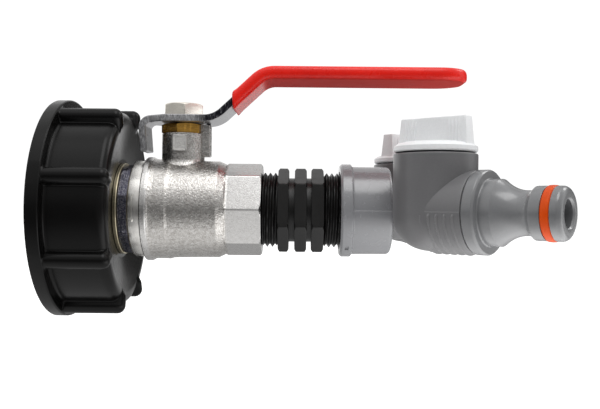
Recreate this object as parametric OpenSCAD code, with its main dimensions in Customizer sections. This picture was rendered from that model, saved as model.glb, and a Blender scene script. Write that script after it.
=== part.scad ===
// Tank outlet tap adapter: a coarse-thread screw cap for a tank outlet, a lever
// ball valve, a black double nipple and a two-way hose distributor with two
// small taps and two push-on hose connectors.
// The origin is the centre of the cap's open mouth. +X runs along the main axis
// to the hose connectors, +Z is up, to the lever.

/* [Tank cap] */
// radius of the foot flange round the cap's mouth
cap_flange_r = 37.7; // [36.8:0.1:38.2]
// radius of the cap's round wall
cap_wall_r = 33.6; // [33.2:0.1:34.2]
// length of the cap from its mouth to the rim of its closed face
cap_len = 23.6; // [23.2:0.1:24]
// number of grip lugs round the cap
lug_n = 8; // [4:1:10]
// width of a grip lug
lug_w = 5.5; // [4.6:0.1:6.4]
// crest radius of the coarse tank thread inside the cap
tank_crest_r = 28.2; // [28.1:0.05:28.4]
// root radius of the coarse tank thread
tank_root_r = 30.2; // [30:0.05:30.4]
// pitch of the coarse tank thread
tank_pitch = 6; // [6:0.1:6.2]

/* [Lever valve] */
// distance from the cap's mouth to the valve's stem
stem_x = 42.4; // [42.3:0.1:42.5]
// radius of the valve's round barrel
barrel_r = 16.9; // [16.7:0.1:17.2]
// radius across the corners of the octagon end
oct_r = 16.25; // [16:0.05:16.5]
// radius of the valve's ball
ball_r = 12; // [11.9:0.05:12]
// radius of the way through the ball
ball_bore_r = 7.5; // [7:0.1:7.6]
// radius of the neck round the stem
neck_r = 7.5; // [7.4:0.1:7.8]
// height of the neck's top above the main axis
neck_top = 26.5; // [26.4:0.05:26.6]
// radius of the valve's stem
stem_r = 4; // [3.9:0.02:4]

/* [Lever] */
// thickness of the steel strip
lever_t = 2.4; // [2.2:0.1:2.5]
// height of the underside of the lever's head
lever_z = 30; // [30:0.05:30.2]
// height of the strip's middle under the red sleeve
grip_z = 47; // [46:0.5:48]
// reach of the strip from the stem
lever_reach = 98.8; // [90:0.5:104]
// half width of the strip
lever_hw = 9.5; // [9:0.1:9.8]
// wall of the soft sleeve
sleeve_wall = 1.1; // [0.8:0.1:1.4]
// angle of the strip's rise
lever_rise = 43; // [40:1:45]

/* [Double nipple] */
// outside radius of the three-quarter inch pipe thread
pipe_r = 13.22; // [13.1:0.02:13.24]
// depth of the pipe thread
pipe_depth = 1.16; // [1:0.02:1.2]
// pitch of the pipe thread
pipe_pitch = 1.814; // [1.814:0.001:1.815]
// radius across the corners of the three hexagons
nip_hex_r = 14.9; // [14.6:0.1:15.2]
// radius of the way through the nipple
nip_bore_r = 8.5; // [8:0.1:9]

/* [Distributor] */
// distance from the cap's mouth to the two small taps
tap_x = 126; // [125.8:0.1:126.4]
// distance of each small tap from the main axis
tap_y = 30.2; // [30:0.1:31]
// angle of each hose connector away from the main axis
outlet_angle = 39; // [37:1:41]
// radius of the small taps' upright barrels
tap_r = 13.1; // [13:0.05:13.2]
// height of the barrels' top above the main axis
tap_top = 18; // [17.9:0.05:18]
// radius of the outlet cylinder
outlet_r = 12.65; // [12.5:0.05:12.7]
// radius of the small ball in each tap
small_ball_r = 8.6; // [8.5:0.05:8.7]
// radius of the way through the small ball
small_bore_r = 4.5; // [4.2:0.1:4.6]

/* [Hose connector] */
// radius of the connector's push-on nose
nose_r = 7.87; // [7.8:0.01:7.9]
// distance from the small tap's axis to the nose's front face
nose_s = 41.9; // [41.7:0.1:42.2]
// radius of the way through the connector
nose_bore_r = 4; // [3.8:0.1:4.2]

/* [Hidden] */
$fn = 96;
seat_gap = 0.3;
rise = grip_z - lever_z - lever_t / 2;

// a body turned round the X axis from pairs of radius and distance along X
module turned(pts) rotate([0, 90, 0]) rotate_extrude() polygon(pts);
// a bore of radius r along X
module xbore(r, x0, x1) translate([x0, 0, 0]) rotate([0, 90, 0]) cylinder(r = r, h = x1 - x0);
// a body turned round the outlet's own axis, at the near (side -1) or far (side 1) tap
module outlet(side) translate([tap_x, side * tap_y, 0]) rotate([0, 0, side * outlet_angle]) children();
// points of an arc in degrees
function arc(cx, cy, r, a0, a1, n) = [for (i = [0 : n]) let(a = a0 + (a1 - a0) * i / n) [cx + r * cos(a), cy + r * sin(a)]];
// a closed wedge from the origin between two angles
module wedge(a0, a1, r) polygon(concat([[0, 0]], arc(0, 0, r, a0, a1, 4)));
// radius and distance pairs of a ring-drawn pipe thread between x0 and x1
function thread(x0, n) = [for (i = [0 : n - 1]) each
    [[pipe_r - pipe_depth, x0 + i * pipe_pitch + 0.15], [pipe_r - 0.12, x0 + (i + 0.5) * pipe_pitch - 0.12],
     [pipe_r - 0.12, x0 + (i + 0.5) * pipe_pitch + 0.12], [pipe_r - pipe_depth, x0 + (i + 1) * pipe_pitch - 0.15]]];

// the centre line of the lever strip, from the foot of the bent tail to the tip, as distance from the stem and height
mid_z = lever_z + lever_t / 2;
b1 = 3;
b2 = 9;
rise_run = rise / tan(lever_rise);
k2 = b2 * tan(lever_rise / 2);
function path() = concat(
    [[-12.9, 20]],
    arc(-13.6 + b1, mid_z - b1, b1, 176, 90, 5),
    arc(11.8 - k2, mid_z + b2, b2, 270, 270 + lever_rise, 6),
    arc(11.8 + rise_run + k2, grip_z - b2, b2, 90 + lever_rise, 90, 6),
    [[lever_reach, grip_z]]);
function dir(p, i) = let(n = len(p), a = p[max(i - 1, 0)], b = p[min(i + 1, n - 1)], d = b - a) d / norm(d);
function side_of(p, i, w) = let(d = dir(p, i)) p[i] + w * [-d[1], d[0]];
// a strip of half thickness w drawn along a centre line p
module strip(p, w) polygon(concat([for (i = [0 : len(p) - 1]) side_of(p, i, w)],
    [for (i = [len(p) - 1 : -1 : 0]) side_of(p, i, -w)]));
// the strip's outline seen from above, half width hw, tip at reach
module strip_plan(hw, reach, back, tail_hw) polygon(concat(
    [[back, -tail_hw], [-10.5, -tail_hw], [-5, -hw - (tail_hw < hw ? 0.5 : 0)], [16, -hw]],
    arc(reach - 6, -hw + 6, 6, 270, 360, 6),
    arc(reach - 6, hw - 6, 6, 0, 90, 6),
    [[16, hw], [-5, hw + (tail_hw < hw ? 0.5 : 0)], [-10.5, tail_hw], [back, tail_hw]]));

module cap_lug(a) rotate([90 - a, 0, 0]) {
    hw = lug_w / 2;
    zc = 37.2 - hw;
    translate([2, -hw + 0.05, 30.9]) cube([20.05, lug_w - 0.1, zc - 30.9]);
    translate([22.05, 0, 30.9]) cylinder(r = hw - 0.03, h = zc - 30.9);
    translate([2, 0, zc]) rotate([0, 90, 0]) cylinder(r = hw, h = 20.05);
    translate([22.05, 0, zc]) sphere(r = hw);
}

module coupling_cap() color([0.09, 0.09, 0.09]) {
    difference() {
        union() {
            turned(concat([[14.6, 17.2], [29.2, 17.2], [29.2, 14.2], [31.5, 14.2], [31.5, 0],
                [cap_flange_r, 0], [cap_flange_r, 3.6], [cap_flange_r - 0.7, 4.3], [cap_wall_r, 4.3]],
                arc(cap_wall_r - 3.2, cap_len - 3.2, 3.2, 0, 90, 5),
                [[28.4, cap_len - 0.25], [17.2, 21.2], [14.6, 21.2]]));
            turned([[tank_crest_r, 0], [31.8, 0], [31.8, 14.2], [tank_crest_r, 14.2]]);
            for (i = [0 : lug_n - 1]) cap_lug(17 + i * 360 / lug_n);
        }
        for (c = [4.4, 4.4 + tank_pitch])
            turned([[tank_crest_r - 1, c - 2.1], [tank_crest_r, c - 2.1], [tank_root_r, c - 1.1],
                [tank_root_r, c + 1.1], [tank_crest_r, c + 2.1], [tank_crest_r - 1, c + 2.1]]);
    }
}

module tank_gasket() color([0.12, 0.12, 0.12])
    turned([[20.5, 14.3], [29, 14.3], [29, 17.15], [20.5, 17.15]]);

module brass_bush() color([0.78, 0.68, 0.42])
    turned([[12.75, 15.6], [17.4, 15.6], [17.4, 17.15], [14.55, 17.15], [14.55, 21.25], [16, 21.25],
        [16, 22.3], [15.7, 22.6], [12.75, 22.6]]);

module valve_tail() color([0.72, 0.71, 0.68]) {
    difference() {
        union() {
            turned([[7.8, 14.4], [12.2, 14.4], [12.7, 14.9], [12.7, 23], [7.8, 23]]);
            intersection() {
                translate([22.7, 0, 0]) rotate([0, 90, 0]) rotate([0, 0, 32]) cylinder(r = 16.1, h = 3.4, $fn = 8);
                turned([[7.8, 22.7], [15.5, 22.7], [15.8, 23], [15.8, 26.1], [7.8, 26.1]]);
            }
            turned([[7.8, 26], [16.2, 26], [16.8, 26.6], [16.8, 30.4], [13.6, 30.4], [13.6, 36], [10.85, 36],
                [10.85, 30.7], [7.8, 30.7]]);
        }
        // the small slot across the machined ring
        rotate([4, 0, 0]) translate([27.8, -17.4, -4.5]) cube([0.7, 1.2, 9]);
    }
}

module stop_lug() intersection() {
    translate([4, -2.5, 18.8]) cube([6, 5, 10.8]);
    translate([0, 0, 18]) cylinder(r = 9.9, h = 12);
}

module valve_body() color([0.76, 0.75, 0.72]) {
    difference() {
        union() {
            turned([[7.8, 30.5], [18, 30.5], [18.2, 30.8], [18.2, 32.5], [17.5, 33.4], [17.5, 38.5], [17.15, 39.4],
                [barrel_r, 55.8], [15.6, 58.2], [7.8, 58.2]]);
            translate([58, 0, 0]) rotate([0, 90, 0]) intersection() {
                cylinder(r = oct_r, h = 12.6, $fn = 8);
                rotate_extrude() polygon([[0, 0], [16.6, 0], [16.6, 11.8], [15.5, 12.6], [0, 12.6]]);
            }
            translate([stem_x, 0, 0]) {
                translate([0, 0, 13.5]) cylinder(r = neck_r, h = neck_top - 13.5);
                translate([0, 0, 13.5]) cylinder(r1 = 9, r2 = neck_r - 0.1, h = 3.6);
                translate([-2.4, -neck_r - 1.1, 20]) cube([4.8, 4, 5.5]);
                stop_lug();
                intersection() {
                    translate([0, 0, 18.8]) linear_extrude(height = 10.8) wedge(118.5, 134, 12);
                    cylinder(r = 9.9, h = 40);
                }
            }
        }
        // way for the tail piece, ball chamber, seat pocket, water way and threaded outlet
        xbore(13.65, 30, 36.6);
        xbore(12.7, 36.5, 49.5);
        xbore(10.85, 49.4, 54);
        xbore(7.8, 53, 60);
        xbore(12.75, 59.6, 71);
        translate([stem_x, 0, 0]) {
            translate([0, 0, 8]) cylinder(r = 5.9, h = 6.5);
            translate([0, 0, 8]) cylinder(r = stem_r + 0.08, h = 14);
            translate([0, 0, 20]) cylinder(r = 6, h = 12);
            translate([0, 0, neck_top]) cylinder(r = 8.3, h = 4);
        }
    }
}

module seat_ring() difference() {
    turned([[7.8, 7], [10.8, 7], [10.8, 11.5], [7.8, 11.5]]);
    sphere(r = ball_r + seat_gap);
}

module inlet_ball_seal() color([0.95, 0.95, 0.93]) translate([stem_x, 0, 0]) mirror([1, 0, 0]) seat_ring();

module outlet_ball_seal() color([0.95, 0.95, 0.93]) translate([stem_x, 0, 0]) seat_ring();

module valve_ball() color([0.8, 0.8, 0.8]) translate([stem_x, 0, 0]) difference() {
    sphere(r = ball_r);
    translate([-20, 0, 0]) rotate([0, 90, 0]) cylinder(r = ball_bore_r, h = 40);
    translate([-1.6, -20, 8.7]) cube([3.2, 40, 10]);
}

module valve_stem() color([0.75, 0.7, 0.5]) translate([stem_x, 0, 0]) difference() {
    union() {
        translate([-1.5, -4.2, 8.9]) cube([3, 8.4, 4]);
        translate([0, 0, 12.4]) cylinder(r = 5.5, h = 1.2);
        translate([0, 0, 13]) cylinder(r = stem_r, h = 17);
        intersection() {
            translate([0, 0, 29]) cylinder(r = stem_r, h = 3.3);
            translate([-2.8, -6, 29]) cube([5.6, 12, 3.3]);
        }
        translate([0, 0, 32.2]) cylinder(r = 2.75, h = 3.5);
        translate([0, 0, 35.6]) cylinder(r1 = 2.75, r2 = 2.35, h = 0.5);
    }
}

module thrust_washer() color([0.95, 0.95, 0.93]) translate([stem_x, 0, 13.7]) difference() {
    cylinder(r = 5.7, h = 0.75);
    translate([0, 0, -1]) cylinder(r = stem_r + 0.3, h = 3);
}

module stem_packing() color([0.95, 0.95, 0.93]) translate([stem_x, 0, 20.05]) difference() {
    cylinder(r = 5.95, h = 3.5);
    translate([0, 0, -1]) cylinder(r = stem_r + 0.08, h = 6);
}

module gland_nut() color([0.72, 0.55, 0.2]) translate([stem_x, 0, 0]) difference() {
    union() {
        translate([0, 0, 23.6]) cylinder(r = 5.95, h = 3);
        intersection() {
            translate([0, 0, neck_top + 0.02]) rotate([0, 0, 22]) cylinder(r = 7.8, h = 3.2, $fn = 6);
            translate([0, 0, neck_top]) rotate_extrude() polygon([[0, 0], [8, 0], [8, 2.7], [7.2, 3.22], [0, 3.22]]);
        }
    }
    translate([0, 0, 20]) cylinder(r = stem_r + 0.08, h = 12);
}

module lever_blank(w, hw, reach, back, tail_hw, p) translate([stem_x, 0, 0]) intersection() {
    rotate([90, 0, 0]) translate([0, 0, -20]) linear_extrude(height = 40) strip(p, w);
    linear_extrude(height = 80) strip_plan(hw, reach, back, tail_hw);
}

module lever() color([0.78, 0.78, 0.8]) {
    difference() {
        lever_blank(lever_t / 2, lever_hw, lever_reach, -20, 6, path());
        translate([stem_x, 0, 28]) intersection() {
            cylinder(r = stem_r + 0.05, h = 6);
            translate([-2.85, -6, 0]) cube([5.7, 12, 6]);
        }
    }
    // the ear under the head that meets the two stop lugs
    translate([stem_x, 0, 27.2]) intersection() {
        linear_extrude(height = 3.2) wedge(18.5, 27, 12);
        difference() {
            cylinder(r = 9.8, h = 3.2);
            translate([0, 0, -1]) cylinder(r = 8.3, h = 6);
        }
    }
}

// the rise and the straight part of the strip, with a point partway up the slope as its start
function grip_path() = concat(
    [[11.8 + 7.6, mid_z + 7.6 * tan(lever_rise)]],
    arc(11.8 + rise_run + k2, grip_z - b2, b2, 90 + lever_rise, 90, 6),
    [[lever_reach + sleeve_wall, grip_z]]);

module lever_sleeve() color([0.82, 0.1, 0.05]) difference() {
    lever_blank(lever_t / 2 + sleeve_wall, lever_hw + sleeve_wall, lever_reach + sleeve_wall, -20, lever_hw + sleeve_wall, grip_path());
    translate([stem_x, 0, 0]) intersection() {
        rotate([90, 0, 0]) translate([0, 0, -20]) linear_extrude(height = 40) strip(path(), lever_t / 2 + 0.02);
        linear_extrude(height = 80) strip_plan(lever_hw + 0.02, lever_reach + 0.02, -20, lever_hw + 0.02);
    }
}

module lever_nut() color([0.75, 0.72, 0.66]) translate([stem_x, 0, 0]) difference() {
    intersection() {
        translate([0, 0, lever_z + lever_t + 0.02]) rotate([0, 0, -79]) cylinder(r = 7.5, h = 4.5, $fn = 6);
        translate([0, 0, lever_z + lever_t]) rotate_extrude() polygon([[0, 0], [8, 0], [8, 3.5], [6.4, 4.52], [0, 4.52]]);
    }
    translate([0, 0, 30]) cylinder(r = 2.8, h = 10);
}

module nipple_hex(x0, x1) translate([x0, 0, 0]) rotate([0, 90, 0]) intersection() {
    rotate([0, 0, -7]) cylinder(r = nip_hex_r, h = x1 - x0, $fn = 6);
    rotate_extrude() polygon([[0, 0], [14, 0], [15.3, 0.7], [15.3, x1 - x0 - 0.7], [14, x1 - x0], [0, x1 - x0]]);
}

module double_nipple() color([0.07, 0.07, 0.07]) difference() {
    union() {
        turned(concat([[nip_bore_r, 60.3], [12.3, 60.3], [12.7, 60.8], [12.7, 70.5]],
            thread(70.6, 3), [[11.2, 76.1], [11.2, 92.1]], thread(92.2, 3),
            [[12.6, 97.7], [12.6, 104.5], [12.1, 105], [nip_bore_r, 105]]));
        nipple_hex(76.1, 79.9);
        nipple_hex(81.9, 86.1);
        nipple_hex(87.7, 92);
    }
    xbore(nip_bore_r, 60, 106);
}

module union_nut() color([0.62, 0.63, 0.64])
    turned(concat([[13.7, 97.6], [15.6, 97.6], [16.3, 98.3], [16.3, 101.4], [15.4, 101.9], [15.3, 113.5]],
        arc(13.7, 113.6, 1.6, 0, 90, 3),
        [[10.2, 115.2], [10.2, 110.2], [13.4, 110.2], [13.4, 98.6]]));

module union_gasket() color([0.15, 0.15, 0.15])
    turned([[8, 105.1], [12.2, 105.1], [12.2, 107.25], [8, 107.25]]);

module tap_shell(side) translate([tap_x, side * tap_y, 0])
    rotate_extrude() polygon(concat([[0, tap_top], [tap_r - 0.4, tap_top], [tap_r, tap_top - 0.4]],
        [for (i = [0 : 8]) let(a = 11.25 * i) [tap_r * pow(cos(a), 0.87), -12.3 * pow(sin(a), 0.87)]]));

module distributor_body() color([0.42, 0.43, 0.44]) difference() {
    union() {
        turned([[7, 107.35], [10.4, 107.35], [11, 108], [11, 109.7], [9.85, 109.9], [9.85, 124], [0, 124], [0, 115], [7, 115]]);
        translate([tap_x + 0.4, 0, 0]) rotate([90, 0, 0]) rotate([0, 0, 17]) cylinder(r = 9.6, h = 2 * tap_y - 12, center = true);
        for (side = [-1, 1]) {
            tap_shell(side);
            outlet(side) {
                rotate([0, 90, 0]) cylinder(r = outlet_r, h = 14.7);
                // raised ribs round the lower half of the outlet
                for (s = [1.9, 4.6, 7.2, 9.8, 12.4])
                    rotate([0, 90, 0]) translate([0, 0, s - 0.3]) intersection() {
                        difference() {
                            cylinder(r = outlet_r + 0.45, h = 0.6);
                            translate([0, 0, -1]) cylinder(r = outlet_r - 1, h = 3);
                        }
                        translate([0.4, -20, -1]) cube([30, 40, 4]);
                    }
            }
        }
    }
    // water way from the union to both taps
    xbore(7, 100, 123.5);
    translate([tap_x - 0.3, 0, 0]) rotate([90, 0, 0]) cylinder(r = 6, h = 2 * tap_y - 24, center = true);
    for (side = [-1, 1]) {
        translate([tap_x - 0.3, side * (tap_y - 12.5), 0]) rotate([side * -90, 0, 0]) cylinder(r = 5, h = 6);
        outlet(side) {
            // ball chamber, open to the outlet
            sphere(r = 9.1);
            rotate([0, 90, 0]) cylinder(r = 9.3, h = 30);
            cylinder(r = 5.08, h = 30);
            translate([0, 0, tap_top - 2.5]) cylinder(r = 8.1, h = 5);
        }
    }
}

module small_ball(side) outlet(side) difference() {
    sphere(r = small_ball_r);
    translate([-20, 0, 0]) rotate([0, 90, 0]) cylinder(r = small_bore_r, h = 40);
    translate([-1.3, -20, 5.6]) cube([2.6, 40, 10]);
}

module small_seal(side) outlet(side) difference() {
    rotate([0, 90, 0]) rotate_extrude() polygon([[4.6, 5], [8.2, 5], [8.2, 8.9], [4.6, 8.9]]);
    sphere(r = small_ball_r + seat_gap);
}

module knob(side) outlet(side) {
    // round base, its wing along the outlet and its stem down to the ball
    rotate_extrude() polygon([[0, 18.5], [12.6, 18.5], [13, 18.9], [13, 20.2], [11.6, 21.2], [9.8, 21.6], [0, 21.9]]);
    translate([0, 0, 21.4]) intersection() {
        rotate([90, 0, 0]) translate([0, 0, -4]) linear_extrude(height = 8)
            polygon([[-11.9, 0], [11.9, 0], [11.4, 7.8], [11.1, 8.1], [-11.1, 8.1], [-11.4, 7.8]]);
        rotate([90, 0, 90]) translate([0, 0, -14]) linear_extrude(height = 28)
            polygon([[-2.9, 0], [2.9, 0], [2.25, 7.8], [2, 8.1], [-2, 8.1], [-2.25, 7.8]]);
        cylinder(r = 12.2, h = 9);
    }
    // grip ribs on both sides of the wing
    for (x = [-9.6, -8.4, -7.2, -6, 6, 7.2, 8.4, 9.6])
        translate([x - 0.25, -2.75, 21.8]) cube([0.5, 5.5, 6.1]);
    difference() {
        union() {
            translate([0, 0, 15.8]) cylinder(r = 7.7, h = 3);
            translate([0, 0, 8.9]) cylinder(r = 5, h = 8);
            translate([-1.2, -3.6, 5.8]) cube([2.4, 7.2, 3.6]);
        }
        translate([0, 0, 11.5]) difference() {
            cylinder(r = 6, h = 1.9);
            translate([0, 0, -1]) cylinder(r = 3.6, h = 4);
        }
    }
}

module knob_ring(side) outlet(side) translate([0, 0, 12.45]) rotate_extrude() translate([4.3, 0]) circle(r = 0.68);

module connector(side) outlet(side) difference() {
    rotate([0, 90, 0]) rotate_extrude() polygon(concat(
        [[nose_bore_r, 9], [8.6, 9], [8.6, 10.6], [7.9, 10.6], [7.9, 12.4], [9.2, 12.4], [9.2, 14.9], [12.5, 14.9], [12.8, 15.2],
            [12.8, 18.2], [12.4, 18.6], [10, 18.6], [10, 22.4]],
        [for (i = [1 : 8]) let(t = i / 8) [10 - 3.4 * (1 - pow(1 - t, 2)), 22.4 + 7.8 * t]],
        [[6.6, 31.4], [7.3, 32.2], [nose_r, 33], [nose_r, 36], [6.9, 36], [6.9, 38.8], [nose_r, 38.8]],
        arc(nose_r - 1.9, nose_s - 1.9, 1.9, 0, 90, 4),
        [[nose_bore_r + 0.5, nose_s], [nose_bore_r, nose_s - 0.5]]));
    translate([0, 0, 0]) rotate([0, 90, 0]) cylinder(r = nose_bore_r, h = 50);
}

module connector_ring(side) outlet(side) rotate([0, 90, 0]) translate([0, 0, 11.5]) rotate_extrude() translate([8.55, 0]) circle(r = 0.65);

module nose_ring(side) outlet(side) rotate([0, 90, 0]) translate([0, 0, 36.05]) rotate_extrude()
    polygon([[6.92, 0.1], [7.9, 0], [7.9, 2.7], [6.92, 2.6]]);

module near_ball() color([0.85, 0.85, 0.85]) small_ball(-1);
module near_ball_seal() color([0.15, 0.15, 0.15]) small_seal(-1);
module near_knob() color([0.93, 0.93, 0.94]) knob(-1);
module near_knob_ring() color([0.1, 0.1, 0.1]) knob_ring(-1);
module near_connector() color([0.5, 0.51, 0.53]) connector(-1);
module near_connector_ring() color([0.1, 0.1, 0.1]) connector_ring(-1);
module near_nose_ring() color([0.9, 0.3, 0.05]) nose_ring(-1);
module far_ball() color([0.85, 0.85, 0.85]) small_ball(1);
module far_ball_seal() color([0.15, 0.15, 0.15]) small_seal(1);
module far_knob() color([0.93, 0.93, 0.94]) knob(1);
module far_knob_ring() color([0.1, 0.1, 0.1]) knob_ring(1);
module far_connector() color([0.5, 0.51, 0.53]) connector(1);
module far_connector_ring() color([0.1, 0.1, 0.1]) connector_ring(1);
module far_nose_ring() color([0.9, 0.3, 0.05]) nose_ring(1);

coupling_cap();
tank_gasket();
brass_bush();
valve_tail();
valve_body();
inlet_ball_seal();
outlet_ball_seal();
valve_ball();
valve_stem();
thrust_washer();
stem_packing();
gland_nut();
lever();
lever_sleeve();
lever_nut();
double_nipple();
union_nut();
union_gasket();
distributor_body();
near_ball();
near_ball_seal();
near_knob();
near_knob_ring();
near_connector();
near_connector_ring();
near_nose_ring();
far_ball();
far_ball_seal();
far_knob();
far_knob_ring();
far_connector();
far_connector_ring();
far_nose_ring();
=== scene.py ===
import math

import bmesh
import bpy
import numpy as np
from mathutils import Matrix, Vector


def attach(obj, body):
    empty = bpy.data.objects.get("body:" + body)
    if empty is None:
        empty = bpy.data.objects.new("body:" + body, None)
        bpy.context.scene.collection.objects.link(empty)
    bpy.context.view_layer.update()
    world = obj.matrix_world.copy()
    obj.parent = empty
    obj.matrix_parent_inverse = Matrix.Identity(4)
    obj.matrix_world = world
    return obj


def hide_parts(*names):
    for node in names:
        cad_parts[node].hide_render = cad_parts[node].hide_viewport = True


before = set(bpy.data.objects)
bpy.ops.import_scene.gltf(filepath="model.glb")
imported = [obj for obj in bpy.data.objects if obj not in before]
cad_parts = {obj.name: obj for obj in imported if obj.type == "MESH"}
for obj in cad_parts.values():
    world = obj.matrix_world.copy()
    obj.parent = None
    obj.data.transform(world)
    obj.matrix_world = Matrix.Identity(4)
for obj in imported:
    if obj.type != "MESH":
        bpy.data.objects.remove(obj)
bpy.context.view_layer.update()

MM = 0.001
ALONG_X = Matrix.Rotation(math.radians(90), 4, "Y")
STEM_X, TAP_X, TAP_Y, OUT_A = 42.4, 126.0, 30.2, 39.0


def shift(x=0.0, y=0.0, z=0.0):
    return Matrix.Translation((x, y, z))


def outlet_m(side):
    """The frame of a small tap: Z up the tap, X along its outlet."""
    return shift(TAP_X, side * TAP_Y, 0) @ Matrix.Rotation(math.radians(side * OUT_A), 4, "Z")


# ---------------------------------------------------------------- mesh helpers, all in millimetres

def sstep(x, a, b):
    t = min(1.0, max(0.0, (x - a) / (b - a)))
    return t * t * (3 - 2 * t)


def fil(pts, n=4, closed=True):
    """Rounds the corners of an outline: each point is (a, b) or (a, b, radius)."""
    out, count = [], len(pts)
    for i, p in enumerate(pts):
        r = p[2] if len(p) > 2 else 0
        if r <= 0 or (not closed and i in (0, count - 1)):
            out.append((p[0], p[1]))
            continue
        q = Vector(p[:2])
        a, b = Vector(pts[i - 1][:2]) - q, Vector(pts[(i + 1) % count][:2]) - q
        if a.length < 1e-6 or b.length < 1e-6:
            out += [(p[0], p[1])] * (n + 1)
            continue
        la, lb = a.length, b.length
        u, v = a / la, b / lb
        ang = math.acos(max(-1, min(1, u.dot(v))))
        if ang > math.pi - 0.03 or ang < 0.03:
            out += [(p[0], p[1])] * (n + 1)
            continue
        d = min(r / math.tan(ang / 2), 0.48 * la, 0.48 * lb)
        rr = d * math.tan(ang / 2)
        c = q + (u + v).normalized() * (rr / math.sin(ang / 2))
        s, e = q + u * d - c, q + v * d - c
        a0, a1 = math.atan2(s.y, s.x), math.atan2(e.y, e.x)
        da = (a1 - a0 + math.pi) % (2 * math.pi) - math.pi
        for k in range(n + 1):
            t = a0 + da * k / n
            out.append((c.x + rr * math.cos(t), c.y + rr * math.sin(t)))
    return out


def geo(verts, faces, m=None):
    """A mesh as arrays, placed by m."""
    v = np.array(verts, float).reshape(-1, 3)
    if m is not None:
        a = np.array(m)
        v = v @ a[:3, :3].T + a[:3, 3]
    return v, [tuple(f) for f in faces]


def polar(prof, thetas, m=None, closed=True):
    """A surface round Z: prof(theta) gives the outline as (r, s) at that angle."""
    cols = [prof(t) for t in thetas]
    k, n = len(cols[0]), len(thetas)
    assert all(len(c) == k for c in cols), "the outline's point count changes round the axis"
    verts = []
    for t, c in zip(thetas, cols):
        ca, sa = math.cos(math.radians(t)), math.sin(math.radians(t))
        verts += [(r * ca, r * sa, s) for r, s in c]
    faces = []
    for i in range(n):
        j = (i + 1) % n
        for p in range(k if closed else k - 1):
            q = (p + 1) % k
            faces.append((i * k + p, j * k + p, j * k + q, i * k + q))
    return geo(verts, faces, m)


def revolve(pts, m=None, seg=144, closed=True, n=4):
    prof = fil(pts, n, closed)
    return polar(lambda t: prof, [360 * i / seg for i in range(seg)], m, closed)


def loft(loops, m=None, ring=True):
    """Skins a list of closed loops of 3-D points, with both ends closed."""
    k, verts, faces = len(loops[0]), [], []
    for lp in loops:
        verts += [tuple(p) for p in lp]
    for i in range(len(loops) - 1):
        for p in range(k):
            q = (p + 1) % k
            faces.append((i * k + p, i * k + q, (i + 1) * k + q, (i + 1) * k + p))
    for base, lp in ((0, loops[0]), ((len(loops) - 1) * k, loops[-1])):
        c = np.mean(np.array(lp, float), axis=0)
        verts.append(tuple(c))
        for p in range(k):
            faces.append((base + p, base + (p + 1) % k, len(verts) - 1))
    return geo(verts, faces, m)


def rbox(lo, hi, r, m=None, seg=3):
    """A box with rounded edges."""
    bm = bmesh.new()
    bmesh.ops.create_cube(bm, size=1.0)
    lo, hi = Vector(lo), Vector(hi)
    for v in bm.verts:
        v.co = Vector([(lo[i] + hi[i]) / 2 + v.co[i] * (hi[i] - lo[i]) for i in range(3)])
    bmesh.ops.bevel(bm, geom=list(bm.edges), offset=r, segments=seg, profile=0.5, affect="EDGES")
    bm.verts.index_update()
    out = geo([tuple(v.co) for v in bm.verts], [tuple(v.index for v in f.verts) for f in bm.faces], m)
    bm.free()
    return out


def piece(name, parts, body, material, nodes=(), sharp=32, weighted=True):
    """One object from mesh parts given in millimetres, riding on body and standing for CAD nodes."""
    verts, faces, base = [], [], 0
    for v, f in parts:
        verts.append(v)
        faces += [tuple(i + base for i in q) for q in f]
        base += len(v)
    verts = np.vstack(verts) * MM
    me = bpy.data.meshes.new(name)
    me.from_pydata([tuple(v) for v in verts], [], faces)
    bm = bmesh.new()
    bm.from_mesh(me)
    bmesh.ops.remove_doubles(bm, verts=bm.verts, dist=2e-7)
    bmesh.ops.dissolve_degenerate(bm, edges=bm.edges, dist=2e-7)
    bmesh.ops.recalc_face_normals(bm, faces=bm.faces)
    bm.to_mesh(me)
    bm.free()
    for p in me.polygons:
        p.use_smooth = True
    me.set_sharp_from_angle(angle=math.radians(sharp))
    me.materials.append(material)
    ob = bpy.data.objects.new(name, me)
    bpy.context.scene.collection.objects.link(ob)
    if weighted:
        wn = ob.modifiers.new("even_normals", "WEIGHTED_NORMAL")
        wn.keep_sharp = True
    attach(ob, body)
    if nodes:
        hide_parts(*nodes)
    return ob


def poly_r(a, n, theta, turn=0.0, p=110):
    """Radius of a rounded regular polygon of apothem a whose face normals start at turn."""
    s = 0.0
    for k in range(n):
        c = math.cos(math.radians(theta - turn - 360.0 * k / n))
        if c > 0.3:
            s += c ** p
    return a / s ** (1.0 / p)


def poly_thetas(n, turn, fine=(0.4, 0.9, 1.6, 2.6, 4.0, 6.0), step=4.0):
    """Angles that are close together at the corners of a regular polygon whose face normals start at turn."""
    out = set()
    half = 180.0 / n
    for k in range(n):
        corner = turn + half + 360.0 * k / n
        out.add(round(corner % 360, 4))
        for f in fine:
            out.add(round((corner + f) % 360, 4))
            out.add(round((corner - f) % 360, 4))
        f = fine[-1] + step
        while f < half:
            out.add(round((corner + f) % 360, 4))
            out.add(round((corner - f) % 360, 4))
            f += step
        out.add(round((turn + 360.0 * k / n) % 360, 4))
    return sorted(out)


def helix_groove(theta, x, start, pitch, turns, half_mouth, half_floor):
    """Depth from 0 to 1 of a helical groove at this angle and distance."""
    best = 0.0
    for k in range(-1, int(turns) + 2):
        w = k + (theta % 360) / 360.0
        fade = sstep(w, -0.05, 0.1) * sstep(turns - w, 0.0, 0.16)
        d = abs(x - (start + w * pitch))
        best = max(best, fade * min(1.0, max(0.0, (half_mouth - d) / (half_mouth - half_floor))))
    return best


# ---------------------------------------------------------------- materials

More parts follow.
